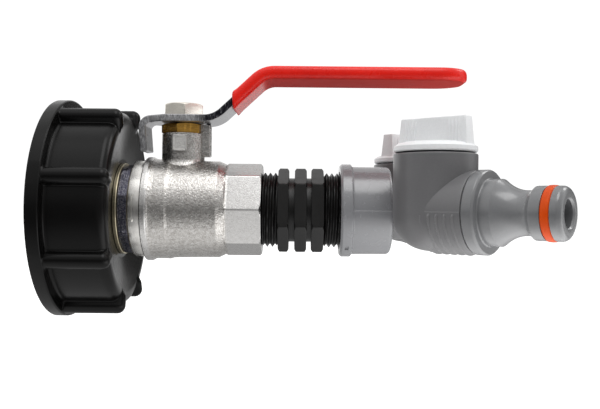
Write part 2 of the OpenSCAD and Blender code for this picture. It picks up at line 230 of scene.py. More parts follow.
def new_material(name):
    m = bpy.data.materials.new(name)
    m.use_nodes = True
    t = m.node_tree
    t.nodes.clear()
    out = t.nodes.new("ShaderNodeOutputMaterial")
    b = t.nodes.new("ShaderNodeBsdfPrincipled")
    t.links.new(b.outputs["BSDF"], out.inputs["Surface"])
    return m, t, b


def coords(t, scale=(1, 1, 1), rot=(0, 0, 0)):
    tc = t.nodes.new("ShaderNodeTexCoord")
    mp = t.nodes.new("ShaderNodeMapping")
    mp.inputs["Scale"].default_value = scale
    mp.inputs["Rotation"].default_value = [math.radians(a) for a in rot]
    t.links.new(tc.outputs["Object"], mp.inputs["Vector"])
    return mp.outputs["Vector"]


def noise(t, scale, detail=3.0, rough=0.55, vec=None, distortion=0.0):
    n = t.nodes.new("ShaderNodeTexNoise")
    n.inputs["Scale"].default_value = scale
    n.inputs["Detail"].default_value = detail
    n.inputs["Roughness"].default_value = rough
    n.inputs["Distortion"].default_value = distortion
    t.links.new(vec if vec is not None else coords(t), n.inputs["Vector"])
    return n.outputs["Fac"]


def cells(t, scale, vec=None, feature="F1"):
    n = t.nodes.new("ShaderNodeTexVoronoi")
    n.feature = feature
    n.inputs["Scale"].default_value = scale
    t.links.new(vec if vec is not None else coords(t), n.inputs["Vector"])
    return n.outputs["Distance"]


def ramp(t, fac, stops, interp="LINEAR"):
    n = t.nodes.new("ShaderNodeValToRGB")
    n.color_ramp.interpolation = interp
    e = n.color_ramp.elements
    while len(e) < len(stops):
        e.new(0.5)
    for k, (pos, col) in enumerate(stops):
        e[k].position = pos
        c = (col, col, col) if isinstance(col, (int, float)) else col
        e[k].color = (c[0], c[1], c[2], 1)
    t.links.new(fac, n.inputs["Fac"])
    return n.outputs["Color"]


def span(t, fac, a, b, c, d):
    n = t.nodes.new("ShaderNodeMapRange")
    for key, v in (("From Min", a), ("From Max", b), ("To Min", c), ("To Max", d)):
        n.inputs[key].default_value = v
    t.links.new(fac, n.inputs["Value"])
    return n.outputs["Result"]


def calc(t, op, a, b=None):
    n = t.nodes.new("ShaderNodeMath")
    n.operation = op
    for k, v in enumerate((a, b)):
        if v is None:
            continue
        if isinstance(v, (int, float)):
            n.inputs[k].default_value = v
        else:
            t.links.new(v, n.inputs[k])
    return n.outputs["Value"]


def blend_col(t, fac, a, b, mode="MIX"):
    n = t.nodes.new("ShaderNodeMix")
    n.data_type = "RGBA"
    n.blend_type = mode
    ins = [i for i in n.inputs if i.enabled or True]
    f = n.inputs[0]
    ca, cb = n.inputs[6], n.inputs[7]
    for sock, v in ((f, fac), (ca, a), (cb, b)):
        if isinstance(v, (int, float)):
            sock.default_value = v
        elif isinstance(v, (tuple, list)):
            sock.default_value = (v[0], v[1], v[2], 1)
        else:
            t.links.new(v, sock)
    return n.outputs[2]


def bump(t, height, distance, strength=1.0, under=None):
    n = t.nodes.new("ShaderNodeBump")
    n.inputs["Strength"].default_value = strength
    n.inputs["Distance"].default_value = distance
    t.links.new(height, n.inputs["Height"])
    if under is not None:
        t.links.new(under, n.inputs["Normal"])
    return n.outputs["Normal"]


def edges(t, lo=0.52, hi=0.62):
    g = t.nodes.new("ShaderNodeNewGeometry")
    return span(t, g.outputs["Pointiness"], lo, hi, 0.0, 1.0)


def axis_part(t, which, kind="Object"):
    tc = t.nodes.new("ShaderNodeTexCoord")
    sp = t.nodes.new("ShaderNodeSeparateXYZ")
    t.links.new(tc.outputs[kind], sp.inputs[0])
    return sp.outputs[which]


def put(t, b, color=None, rough=None, normal=None, metal=0.0, **uniform):
    if color is not None:
        t.links.new(color, b.inputs["Base Color"])
    if rough is not None:
        if isinstance(rough, (int, float)):
            b.inputs["Roughness"].default_value = rough
        else:
            t.links.new(rough, b.inputs["Roughness"])
    if normal is not None:
        t.links.new(normal, b.inputs["Normal"])
    if isinstance(metal, (int, float)):
        b.inputs["Metallic"].default_value = metal
    else:
        t.links.new(metal, b.inputs["Metallic"])
    for key, v in uniform.items():
        b.inputs[key.replace("_", " ")].default_value = v


def plastic(name, dark, light, rough=(0.32, 0.46), grain=900.0, depth=0.00002, mottle=70.0, fine=1800.0, edge=None, ior=1.48, coat=0.0, streak=None, worn=0.09):
    """Moulded plastic: uneven colour, a fine moulded grain, faint scuffs and a painted highlight along the edges."""
    m, t, b = new_material(name)
    big = noise(t, mottle, 4, 0.6)
    small = noise(t, fine, 2, 0.5)
    mix = calc(t, "ADD", calc(t, "MULTIPLY", big, 0.7), calc(t, "MULTIPLY", small, 0.3))
    col = ramp(t, mix, [(0.32, dark), (0.68, light)])
    # painted highlight: the colour is lightened along convex edges, as if light caught them
    if edge is not None:
        col = blend_col(t, calc(t, "MULTIPLY", edges(t), 0.35), col, edge)
    scuff = noise(t, 260, 5, 0.7, coords(t, (1.0, 3.0, 0.4), (12, 24, 33)))
    rr = calc(t, "ADD", span(t, big, 0.3, 0.7, rough[0], rough[1]), span(t, scuff, 0.55, 0.75, 0.0, worn))
    h = calc(t, "ADD", calc(t, "MULTIPLY", noise(t, grain, 3, 0.6), 0.75), calc(t, "MULTIPLY", noise(t, mottle * 1.3, 2, 0.5), 0.9))
    if streak is not None:
        h = calc(t, "ADD", h, calc(t, "MULTIPLY", noise(t, 1.0, 3, 0.6, coords(t, streak)), 0.5))
    put(t, b, col, rr, bump(t, h, depth), 0.0, IOR=ior, Coat_Weight=coat, Coat_Roughness=0.12)
    return m


def cast_nickel():
    """Nickel plate over a sand-cast body: fine grain, soft waviness and dull spots, smoother on the machined end."""
    m, t, b = new_material("cast_nickel_plate")
    x = axis_part(t, 0)
    end = span(t, x, 0.0586, 0.0592, 0, 1)
    rib = span(t, x, 0.0330, 0.0326, 0, 1)
    machined = calc(t, "MAXIMUM", end, rib)
    grain = noise(t, 1500, 3, 0.65)
    pits = span(t, cells(t, 1500), 0.08, 0.5, 0.0, 1.0)
    wave = noise(t, 260, 3, 0.55)
    lines = noise(t, 1.0, 2, 0.5, coords(t, (5200, 60, 60)))
    cast_h = calc(t, "ADD", calc(t, "MULTIPLY", grain, 0.80), calc(t, "ADD", calc(t, "MULTIPLY", pits, 0.20), calc(t, "MULTIPLY", wave, 0.45)))
    mach_h = calc(t, "ADD", calc(t, "MULTIPLY", calc(t, "MULTIPLY", lines, rib), 0.3), calc(t, "MULTIPLY", noise(t, 2600, 3, 0.6), 0.30))
    n = t.nodes.new("ShaderNodeMix")
    n.data_type = "FLOAT"
    t.links.new(machined, n.inputs[0])
    t.links.new(cast_h, n.inputs[2])
    t.links.new(mach_h, n.inputs[3])
    tone = ramp(t, noise(t, 900, 5, 0.75), [(0.32, (0.33, 0.312, 0.295)), (0.52, (0.49, 0.475, 0.455)), (0.72, (0.60, 0.59, 0.575))])
    speck = span(t, noise(t, 3300, 2, 0.5), 0.58, 0.68, 0.0, 0.6)
    col = blend_col(t, calc(t, "MULTIPLY", speck, calc(t, "SUBTRACT", 1.0, calc(t, "MULTIPLY", machined, 0.7))), tone, (0.19, 0.175, 0.16))
    col = blend_col(t, calc(t, "MULTIPLY", machined, 0.65), col, (0.535, 0.53, 0.525))
    rr = calc(t, "ADD", span(t, noise(t, 500, 4, 0.6), 0.3, 0.7, 0.20, 0.32), calc(t, "MULTIPLY", machined, -0.02))
    # the raised pad on the neck, left duller and lighter
    pad_x = span(t, calc(t, "ABSOLUTE", calc(t, "SUBTRACT", x, 0.0424)), 0.0025, 0.0028, 1.0, 0.0)
    pad_z = span(t, calc(t, "ABSOLUTE", calc(t, "SUBTRACT", axis_part(t, 2), 0.02275)), 0.0027, 0.0030, 1.0, 0.0)
    on_pad = calc(t, "MULTIPLY", calc(t, "MULTIPLY", pad_x, pad_z), span(t, axis_part(t, 1), -0.0081, -0.0079, 1.0, 0.0))
    col = blend_col(t, calc(t, "MULTIPLY", on_pad, 0.65), col, (0.80, 0.79, 0.77))
    rr = calc(t, "ADD", rr, calc(t, "MULTIPLY", on_pad, 0.18))
    put(t, b, col, rr, bump(t, n.outputs[0], 0.00018), 1.0)
    return m


def turned_nickel(name, tint=(0.55, 0.54, 0.52), dark=(0.30, 0.29, 0.28), rough=(0.2, 0.34), lines=6200, axis=0, speck=0.5):
    """Machined plated metal with fine turned lines round an axis and dull specks."""
    m, t, b = new_material(name)
    sc = [70, 70, 70]
    sc[axis] = lines
    line = noise(t, 1.0, 3, 0.6, coords(t, tuple(sc)))
    spots = span(t, noise(t, 1900, 3, 0.6), 0.56, 0.70, 0.0, speck)
    tone = ramp(t, noise(t, 260, 4, 0.6), [(0.3, tuple(c * 0.86 for c in tint)), (0.7, tint)])
    col = blend_col(t, spots, tone, dark)
    rr = calc(t, "ADD", span(t, line, 0.3, 0.7, rough[0], rough[1]), calc(t, "MULTIPLY", spots, 0.2))
    h = calc(t, "ADD", calc(t, "MULTIPLY", line, 0.5), calc(t, "MULTIPLY", noise(t, 1300, 3, 0.6), 0.5))
    put(t, b, col, rr, bump(t, h, 0.00005), 1.0)
    return m


def tail_metal():
    """Turned nickel plate, with the rough octagon collar dark and full of bright specks."""
    m, t, b = new_material("tail_nickel_plate")
    x = axis_part(t, 0)
    collar = calc(t, "MULTIPLY", span(t, x, 0.0224, 0.0226, 0, 1), span(t, x, 0.0263, 0.0261, 0, 1))
    line = noise(t, 1.0, 3, 0.6, coords(t, (5600, 70, 70)))
    blotch = noise(t, 330, 4, 0.6)
    tone = ramp(t, blotch, [(0.3, (0.56, 0.545, 0.52)), (0.7, (0.70, 0.69, 0.665))])
    rough_grain = noise(t, 2600, 4, 0.75)
    dark = ramp(t, rough_grain, [(0.38, (0.045, 0.045, 0.08)), (0.51, (0.13, 0.13, 0.18)), (0.66, (0.66, 0.65, 0.69))])
    col = blend_col(t, collar, tone, dark)
    rr = calc(t, "ADD", span(t, line, 0.3, 0.7, 0.22, 0.34), calc(t, "MULTIPLY", collar, 0.02))
    h = calc(t, "ADD", calc(t, "MULTIPLY", line, 0.22), calc(t, "MULTIPLY", calc(t, "MULTIPLY", rough_grain, collar), 1.0))
    put(t, b, col, rr, bump(t, h, 0.00006), 1.0)
    return m


def zinc_steel():
    """Zinc-plated strip: bright mottled faces and a dark, torn, speckled sheared edge, with a painted dark reflection
    along the edge where the lever rises.
    """
    m, t, b = new_material("zinc_plated_strip")
    ny = calc(t, "ABSOLUTE", axis_part(t, 1, "Normal"))
    sheared = span(t, ny, 0.72, 0.9, 0.0, 1.0)
    mott = noise(t, 480, 5, 0.65)
    tone = ramp(t, mott, [(0.3, (0.36, 0.362, 0.375)), (0.7, (0.52, 0.52, 0.53))])
    torn = noise(t, 1.0, 4, 0.75, coords(t, (2400, 500, 620)))
    # painted dark reflection: along the lever's rise the sheared edge is darkened nearly to black, keeping its torn
    # speckle
    rise_reflection_mask = span(t, axis_part(t, 0), 0.0472, 0.0515, 0.0, 1.0)
    edge_a = ramp(t, torn, [(0.34, (0.16, 0.16, 0.17)), (0.5, (0.34, 0.34, 0.35)), (0.62, (0.60, 0.60, 0.61))])
    edge_dark_reflection = ramp(t, torn, [(0.44, (0.012, 0.012, 0.016)), (0.58, (0.05, 0.05, 0.06)), (0.68, (0.60, 0.60, 0.62))])
    edge_tone = blend_col(t, rise_reflection_mask, edge_a, edge_dark_reflection)
    col = blend_col(t, sheared, tone, edge_tone)
    rr = calc(t, "ADD", span(t, mott, 0.3, 0.7, 0.24, 0.38), calc(t, "MULTIPLY", sheared, 0.1))
    h = calc(t, "ADD", calc(t, "MULTIPLY", noise(t, 900, 3, 0.6), 0.35), calc(t, "MULTIPLY", calc(t, "MULTIPLY", torn, sheared), 2.2))
    put(t, b, col, rr, bump(t, h, 0.00007), 1.0)
    return m


def red_vinyl():
    """Dipped vinyl: glossy red with a soft uneven skin, small dust specks and painted shade on the downward faces."""
    m, t, b = new_material("red_dipped_vinyl")
    big = noise(t, 55, 3, 0.5)
    col = ramp(t, big, [(0.3, (0.66, 0.009, 0.004)), (0.7, (0.78, 0.014, 0.006))])
    dust = span(t, noise(t, 3100, 2, 0.5), 0.70, 0.78, 0.0, 0.35)
    col = blend_col(t, dust, col, (0.75, 0.20, 0.14))
    # painted shade: downward faces are darkened, and also made rougher
    under = span(t, axis_part(t, 2, "Normal"), -0.75, -0.93, 0.0, 1.0)
    col = blend_col(t, calc(t, "MULTIPLY", under, 0.55), col, (0.20, 0.022, 0.016))
    rr = calc(t, "ADD", span(t, noise(t, 300, 3, 0.6), 0.3, 0.7, 0.24, 0.32), calc(t, "MULTIPLY", under, 0.5))
    h = calc(t, "ADD", calc(t, "MULTIPLY", noise(t, 330, 2, 0.5), 0.8), calc(t, "MULTIPLY", noise(t, 2300, 2, 0.5), 0.18))
    put(t, b, col, rr, bump(t, h, 0.00004), 0.0, IOR=1.33)
    return m


def soft_rubber(name, dark=(0.010, 0.010, 0.011), light=(0.022, 0.022, 0.023), rough=(0.5, 0.68)):
    m, t, b = new_material(name)
    col = ramp(t, noise(t, 420, 4, 0.6), [(0.3, dark), (0.7, light)])
    rr = span(t, noise(t, 900, 3, 0.6), 0.3, 0.7, rough[0], rough[1])
    put(t, b, col, rr, bump(t, noise(t, 2100, 3, 0.6), 0.00003), 0.0, IOR=1.5)
    return m


# the edge colours given to these plastics are painted highlights along their edges
CAP = plastic("cap_black_plastic", (0.0020, 0.0020, 0.0021), (0.0036, 0.0034, 0.0032), (0.20, 0.28), 1300, 0.000010, 60, edge=(0.006, 0.006, 0.006), ior=1.24, worn=0.03)
NIPPLE = plastic("nipple_black_nylon", (0.0030, 0.0029, 0.0028), (0.0060, 0.0057, 0.0054), (0.28, 0.38), 1700, 0.000026, 120, edge=(0.014, 0.014, 0.014), ior=1.38, streak=(900, 90, 90))
UNION = plastic("union_grey_plastic", (0.160, 0.162, 0.171), (0.186, 0.188, 0.197), (0.22, 0.28), 1100, 0.000009, 30, ior=1.60, coat=0.3, worn=0.02)
BODY = plastic("body_dark_grey_plastic", (0.106, 0.105, 0.109), (0.128, 0.127, 0.131), (0.30, 0.38), 1500, 0.000012, 60, edge=(0.27, 0.27, 0.275), ior=1.52, worn=0.04)
CONNECTOR = plastic("connector_grey_plastic", (0.118, 0.120, 0.125), (0.142, 0.144, 0.149), (0.22, 0.28), 1200, 0.000009, 40, ior=1.60, coat=0.3, worn=0.02)
KNOB = plastic("knob_white_plastic", (0.68, 0.69, 0.70), (0.78, 0.79, 0.80), (0.30, 0.42), 1000, 0.000018, 60, edge=(0.90, 0.90, 0.91), ior=1.48)
ORANGE = plastic("orange_seal_ring", (0.52, 0.050, 0.002), (0.62, 0.070, 0.003), (0.30, 0.40), 1500, 0.000012, 150, ior=1.24)
BRASS = turned_nickel("turned_brass", (0.62, 0.55, 0.38), (0.30, 0.25, 0.14), (0.22, 0.36), 5200, 0, 0.4)
GLAND = turned_nickel("gland_brass", (0.54, 0.30, 0.065), (0.14, 0.07, 0.015), (0.22, 0.36), 4200, 2, 0.5)
TAIL = tail_metal()
NUT = turned_nickel("lever_nut_nickel", (0.86, 0.82, 0.74), (0.58, 0.545, 0.48), (0.26, 0.40), 1500, 2, 0.45)
STEM = turned_nickel("stem_brass", (0.72, 0.60, 0.36), (0.35, 0.28, 0.14), (0.22, 0.34), 4200, 2, 0.4)
CHROME = turned_nickel("ball_chrome", (0.84, 0.84, 0.85), (0.62, 0.62, 0.63), (0.06, 0.12), 300, 0, 0.2)
CAST = cast_nickel()
STEEL = zinc_steel()
RED = red_vinyl()
RUBBER = soft_rubber("black_rubber")
PTFE = soft_rubber("white_seat_plastic", (0.74, 0.74, 0.72), (0.84, 0.84, 0.82), (0.4, 0.5))


# ---------------------------------------------------------------- the tank cap

LUG_HW, LUG_TOP, LUG_END = 2.75, 37.2, 22.05
lug_c = LUG_TOP - LUG_HW
wall = [(37.3, 0.0), (37.55, 0.1), (37.7, 0.42), (37.7, 3.7), (37.62, 3.98), (37.4, 4.2), (37.1, 4.3), (35.3, 4.3), (34.3, 4.36), (33.86, 4.55), (33.66, 4.9), (33.6, 5.5)]
ridge_x = [0.0, 0.1, 0.42, 3.45, 3.85, 4.12, 4.4, 4.7, 5.0, 5.3, 5.6, 6.0]
wall += [(33.6, x) for x in (8, 11, 14, 17, 19, 20.4)]
ridge_x += [8.5, 11.5, 14.5, 17.5, 20.2, 22.05]
ARC0 = len(wall) - 1
for k in range(1, 11):
    a = math.radians(9 * k)
    wall.append((30.4 + 3.2 * math.cos(a), 20.4 + 3.2 * math.sin(a)))
ARC1 = len(wall) - 1
face = [(30.15, 23.6), (29.9, 23.6), (29.65, 23.59), (29.4, 23.56), (29.1, 23.51), (28.8, 23.45)]
end_r = [33.0, 31.9, 31.2, 30.6, 30.1, 29.4]
wall += face
hub = fil([(28.4, 23.36), (26.5, 22.98), (24.0, 22.5), (20.5, 21.83), (17.2, 21.2, 1.2), (14.6, 21.2, 0.35), (14.6, 17.2, 0.2), (29.2, 17.2, 0.3), (29.2, 14.2, 0.2), (28.2, 14.2)], 4, False)


def ridge(i, rho):
    """The lug's own outline at point i, for half thickness rho at this offset from its middle."""
    if i < 6:
        return wall[i]
    if i == 6:
        return (max(wall[6][0], lug_c + rho), 4.3)
    if i <= ARC0:
        return (lug_c + rho, ridge_x[i])
    if i <= ARC1:
        a = math.radians(90 * (i - ARC0) / (ARC1 - ARC0))
        return (lug_c + rho * math.cos(a), LUG_END + rho * math.sin(a))
    k = i - ARC1 - 1
    x = LUG_END + rho
    drop = (0.0, 0.02, 0.12, 0.4, 0.8, 1.3)[k]
    return (end_r[k], max(wall[i][1], x - drop))


def wall_normal(i):
    a, b = Vector(wall[max(i - 1, 0)]), Vector(wall[min(i + 1, len(wall) - 1)])
    d = (b - a).normalized()
    return Vector((d.y, -d.x))


lug_cols = [(0.0, 1), (0.55, 1), (1.1, 1), (1.6, 1), (2.0, 1), (2.3, 1), (2.52, 1), (2.66, 1), (2.73, 1), (2.75, 1),
            (2.80, 0.62), (2.85, 0.38), (2.93, 0.2), (3.08, 0.085), (3.3, 0.02), (3.6, 0.0)]


def cap_profile(theta):
    local = theta % 45.0
    off = min(local, 45.0 - local)
    u = off / math.degrees(1.0) * 34.4
    rho, c = 0.0, 0.0
    if u <= LUG_HW:
        rho, c = math.sqrt(max(0.0, LUG_HW ** 2 - u * u)), 1.0
    elif u < 3.6:
        c = float(np.interp(u, [k[0] for k in lug_cols[9:]], [k[1] for k in lug_cols[9:]]))
    out = []
    for i, w in enumerate(wall):
        if c <= 0:
            out.append(w)
            continue
        q = ridge(i, rho)
        d = Vector(q) - Vector(w)
        if i > ARC0 and d.dot(wall_normal(i)) <= 0:
            out.append(w)
            continue
        out.append((w[0] + c * d.x, w[1] + c * d.y))
    inner = []
    x = 14.2
    while x > 0.001:
        depth = 2.0 * helix_groove(theta + 120, x, 0.6, 6.0, 2.0, 2.1, 1.1)
        r = 28.2 + depth
        if x < 0.6:
            r = max(r, 28.2 + (0.6 - x))
        if x < 14.1:
            inner.append((r, x))
        x -= 0.2
    inner.append((max(28.8, inner[-1][0]), 0.0))
    return out + hub + inner


cap_thetas = []
for k in range(8):
    mid = 45.0 * k
    offs = [math.degrees(u / 34.4) for u, c in lug_cols]
    cap_thetas += [(mid + o) % 360 for o in offs] + [(mid - o) % 360 for o in offs[1:]]
    first = offs[-1]
    gap = 45.0 - 2 * first
    cap_thetas += [(mid + first + gap * j / 9) % 360 for j in range(1, 9)]
cap_thetas = sorted(set(round(a, 5) for a in cap_thetas))
# the lugs start 17 degrees above the side that faces -Y: that side is 270 degrees here
CAP_M = ALONG_X @ Matrix.Rotation(math.radians(270 - 17), 4, "Z")
piece("cap_shell", [polar(cap_profile, cap_thetas, CAP_M)], "adapter", CAP, ["coupling_cap"], sharp=40)
piece("cap_gasket", [revolve([(20.5, 14.3, 0.5), (29, 14.3, 0.5), (29, 17.15, 0.3), (20.5, 17.15, 0.3)], ALONG_X)], "adapter", RUBBER, ["tank_gasket"])
piece("bush_brass", [revolve([(12.75, 15.6, 0.2), (17.4, 15.6, 0.25), (17.4, 17.15, 0.15), (14.5, 17.15), (14.5, 21.25), (16, 21.25, 0.2), (16, 22.6, 0.3), (12.75, 22.6, 0.3)], ALONG_X)],
      "adapter", BRASS, ["brass_bush"])


# ---------------------------------------------------------------- the valve's tail piece and body

def tail_profile(theta):
    ro = poly_r(16.1 * math.cos(math.radians(22.5)), 8, theta, 32 + 22.5, 160)
    a, b = min(ro, 15.45), min(ro, 15.75)
    slot_mid = 270.0 - 1.0
    off = abs((theta - slot_mid + 180) % 360 - 180)
    cut = 0.55 * (1 - sstep(off, 14.2, 15.4))
    return fil([(7.8, 14.4, 0.3), (12.7, 14.4, 0.5), (12.7, 22.8), (a, 22.75, 0.1), (b, 23.05, 0.1), (b, 26.0, 0.15), (15.9, 26.06), (16.2, 26.12),
                (16.8, 26.65, 0.12), (16.8, 27.78), (16.8 - cut, 27.82), (16.8 - cut, 28.46), (16.8, 28.5), (16.8, 30.4, 0.15), (13.6, 30.4), (13.6, 36), (10.85, 36), (10.85, 30.7), (7.8, 30.7)], 3)


tail_thetas = sorted(set(poly_thetas(8, 9.5) + [round(269 + s * a, 3) for a in (0, 3, 6, 9, 12, 14.2, 14.8, 15.4) for s in (-1, 1)]))
piece("valve_tail_metal", [polar(tail_profile, tail_thetas, ALONG_X)], "adapter", TAIL, ["valve_tail"], sharp=28)


def barrel_profile(theta):
    ro = poly_r(16.25 * math.cos(math.radians(22.5)), 8, theta, 22.5, 140)
    end = min(ro, 16.6)
    tip = min(ro, 15.45)
    drop = 0.8 * max(0.0, end - 15.45) / 1.1
    return fil([(13.65, 30.5), (18.0, 30.5, 0.2), (18.2, 30.8, 0.2), (18.2, 32.3, 0.6), (17.6, 33.3, 0.8), (17.45, 34.5, 1.0), (17.5, 37.2, 1.0), (17.55, 38.6, 0.6), (17.2, 39.6, 0.8), (17.12, 41.0, 1.0),
                (17.0, 46), (16.9, 55.6, 1.2), (15.75, 58.1, 0.3), (ro - 0.02, 58.5, 0.25), (ro, 59.2), (ro, 64), (end, 70.55 - drop - 0.05), (tip, 70.58, 0.12), (12.75, 70.6, 0.2),
                (12.75, 59.8), (7.8, 59.8), (7.8, 53.6), (10.85, 53.6), (10.85, 49.4), (12.7, 49.4), (12.7, 36.5), (13.65, 36.5)], 4)


def barrel_r_at(x):
    return float(np.interp(x, [33, 36.3, 37, 37.9, 46, 55.6, 58.2], [17.5, 17.5, 17.5, 17.5, 17.0, 16.9, 15.6]))


def neck_profile(theta):
    ca, sa = math.cos(math.radians(theta)), math.sin(math.radians(theta))

    def on_barrel(r, sink=0.0):
        rb = 17.0 - sink
        return math.sqrt(max(1.0, rb * rb - (r * sa) ** 2))

    foot = 8.9
    z0 = on_barrel(foot)
    pts = [(4.2, on_barrel(4.2, 2.4)), (foot - 0.3, on_barrel(foot - 0.3, 1.2)), (foot, z0 - 0.04)]
    z1 = 17.3
    # a curve that leaves the barrel along its surface and ends up the neck
    r_c, z_c = 7.7, on_barrel(7.7)
    for k in range(1, 11):
        q = k / 10
        r = (1 - q) ** 2 * foot + 2 * q * (1 - q) * r_c + q * q * 7.45
        z = (1 - q) ** 2 * (z0 - 0.04) + 2 * q * (1 - q) * z_c + q * q * z1
        pts.append((r, z))
    pts += [(7.45, 22.0), (7.45, 26.1), (7.38, 26.35), (7.15, 26.5), (4.2, 26.5)]
    return pts


def stop_block(a0, a1, z0, z1, r0, r1, round_r=0.5):
    """A block between two angles round the stem, with its outer face on a circle."""
    def section(z, inset):
        lo, hi = a0 + math.degrees(inset / r1), a1 - math.degrees(inset / r1)
        out = []
        for k in range(9):
            a = math.radians(lo + (hi - lo) * k / 8)
            out.append(((r1 - inset) * math.cos(a), (r1 - inset) * math.sin(a), z))
        for k in range(4):
            a = math.radians(hi + (lo - hi) * k / 3)
            out.append((r0 * math.cos(a), r0 * math.sin(a), z))
        return out
    loops = [section(z0, round_r)]
    for k in range(1, 4):
        a = math.radians(30 * k)
        loops.append(section(z0 + round_r * (1 - math.cos(a)), round_r * (1 - math.sin(a))))
    for k in range(3, -1, -1):
        a = math.radians(30 * k)
        loops.append(section(z1 - round_r * (1 - math.cos(a)), round_r * (1 - math.sin(a))))
    return loft(loops)


def placed(part, m):
    v, f = part
    a = np.array(m)
    return v @ a[:3, :3].T + a[:3, 3], f


STEM_M = shift(STEM_X, 0, 0)
lug_side = rbox((4.0, -2.5, 18.4), (9.75, 2.5, 29.6), 0.55, STEM_M, 4)
lug_second = placed(stop_block(118.5, 134, 18.4, 29.6, 5.5, 9.85, 0.5), STEM_M)
pad = rbox((-2.4, -8.6, 20.0), (2.4, -6.0, 25.5), 0.4, STEM_M, 5)
pad_rim = [rbox(lo, hi, 0.16, STEM_M, 3) for lo, hi in (((-2.4, -8.85, 20.0), (-1.8, -8.1, 25.5)), ((1.8, -8.85, 20.0), (2.4, -8.1, 25.5)),
                                                         ((-2.4, -8.85, 20.0), (2.4, -8.1, 20.6)), ((-2.4, -8.85, 24.9), (2.4, -8.1, 25.5)))]
piece("valve_body_metal", [polar(barrel_profile, poly_thetas(8, 22.5), ALONG_X), polar(neck_profile, [2.5 * i for i in range(144)], STEM_M),
                           lug_side, lug_second, pad] + pad_rim, "adapter", CAST, ["valve_body"], sharp=30)


def nut_profile(apothem, turn, bore, z0, z1, flat_r, corner, p=150, under=0.0):
    def prof(theta):
        ro = poly_r(apothem, 6, theta, turn, p)
        top = z1 - max(0.0, ro - flat_r) * math.tan(math.radians(corner))
        low = z0 + (max(0.0, ro - flat_r) * math.tan(math.radians(under)) if under else 0.0)
        return fil([(bore, z0), (min(ro, flat_r) - 0.3, z0), (ro, low + 0.02, 0.12), (ro, top, 0.15), (min(ro, flat_r), z1, 0.25), (bore + 0.4, z1, 0.1), (bore, z1 - 0.4)], 3)
    return prof


piece("gland_nut_metal", [polar(nut_profile(7.8 * math.cos(math.radians(30)), 22 + 30, 4.1, 26.52, 29.72, 6.9, 28), poly_thetas(6, 52), STEM_M),
                          revolve([(4.1, 23.6), (5.9, 23.6), (5.9, 26.6), (4.1, 26.6)], STEM_M, 72)], "adapter", GLAND, ["gland_nut"], sharp=28)
piece("lever_nut_metal", [polar(nut_profile(7.5 * math.cos(math.radians(30)), -79 + 30, 2.85, 32.42, 36.92, 6.2, 30, 150, 12), poly_thetas(6, -49), STEM_M)],
      "lever", NUT, ["lever_nut"], sharp=28)


def stem_profile(theta):
    out = [(0, 8.9), (4.0, 8.9), (4.0, 12.4), (5.4, 12.4), (5.4, 13.5), (4.0, 13.5), (4.0, 31.9), (2.7, 32.0)]
    z = 32.2
    while z < 35.5:
        ph = (z / 0.8 - theta / 360.0) % 1.0
        out.append((2.72 - 0.34 * abs(2 * ph - 1), z))
        z += 0.1
    return out + [(2.45, 35.7), (2.2, 36.0), (1.8, 36.1), (0, 36.1)]


piece("stem_metal", [polar(stem_profile, [5.0 * i for i in range(72)], STEM_M, closed=False)], "lever", STEM, ["valve_stem"], sharp=40)


# ---------------------------------------------------------------- the lever and its sleeve

RISE_A = 43.0
mid_z, grip_z, reach = 31.2, 47.0, 98.6
rise_run = (grip_z - mid_z) / math.tan(math.radians(RISE_A))
k2 = 9 * math.tan(math.radians(RISE_A / 2))


def arc_pts(cx, cy, r, a0, a1, n):
    return [(cx + r * math.cos(math.radians(a0 + (a1 - a0) * i / n)), cy + r * math.sin(math.radians(a0 + (a1 - a0) * i / n))) for i in range(n + 1)]


def dense(pts, step=1.6):
    out = [pts[0]]
    for a, b in zip(pts, pts[1:]):
        n = max(1, int(math.dist(a, b) / step))
        out += [(a[0] + (b[0] - a[0]) * k / n, a[1] + (b[1] - a[1]) * k / n) for k in range(1, n + 1)]
    return out


lever_line = dense([(-12.9, 20.0)] + arc_pts(-10.6, mid_z - 3, 3, 176, 90, 8) + arc_pts(11.8 - k2, mid_z + 9, 9, 270, 270 + RISE_A, 12)
                   + arc_pts(11.8 + rise_run + k2, grip_z - 9, 9, 90 + RISE_A, 90, 12) + [(reach - 9.2, grip_z)])
tip = [(reach - 9.2 + 9.2 * math.sin(math.radians(a)), grip_z) for a in (8, 16, 24, 32, 40, 48, 55, 62, 68, 74, 79, 83, 87, 90)]
lever_line += tip


def lever_hw(x, hw=9.5, end=reach, rc=9.2):
    if x > end - rc:
        q = min(1.0, (x - end + rc) / rc)
        return hw - rc + rc * math.sqrt(max(0.0, 1 - q * q))
    return float(np.interp(x, [-14, -10.6, -8, -5, 16, 200], [6.0, 6.0, 8.2, 10.0, 9.5, 9.5])) + (hw - 9.5)


def strip_section(p, d, half_w, half_t, edge_r, n=4):
    """A rounded strip section across the direction d, as 3-D points."""
    nx, nz = -d[1], d[0]
    er = min(edge_r, half_t * 0.98, half_w * 0.9)
    pts = fil([(half_w, -half_t, er), (half_w, half_t, er), (-half_w, half_t, er), (-half_w, -half_t, er)], n)
    return [(p[0] + t * nx, y, p[1] + t * nz) for y, t in pts]


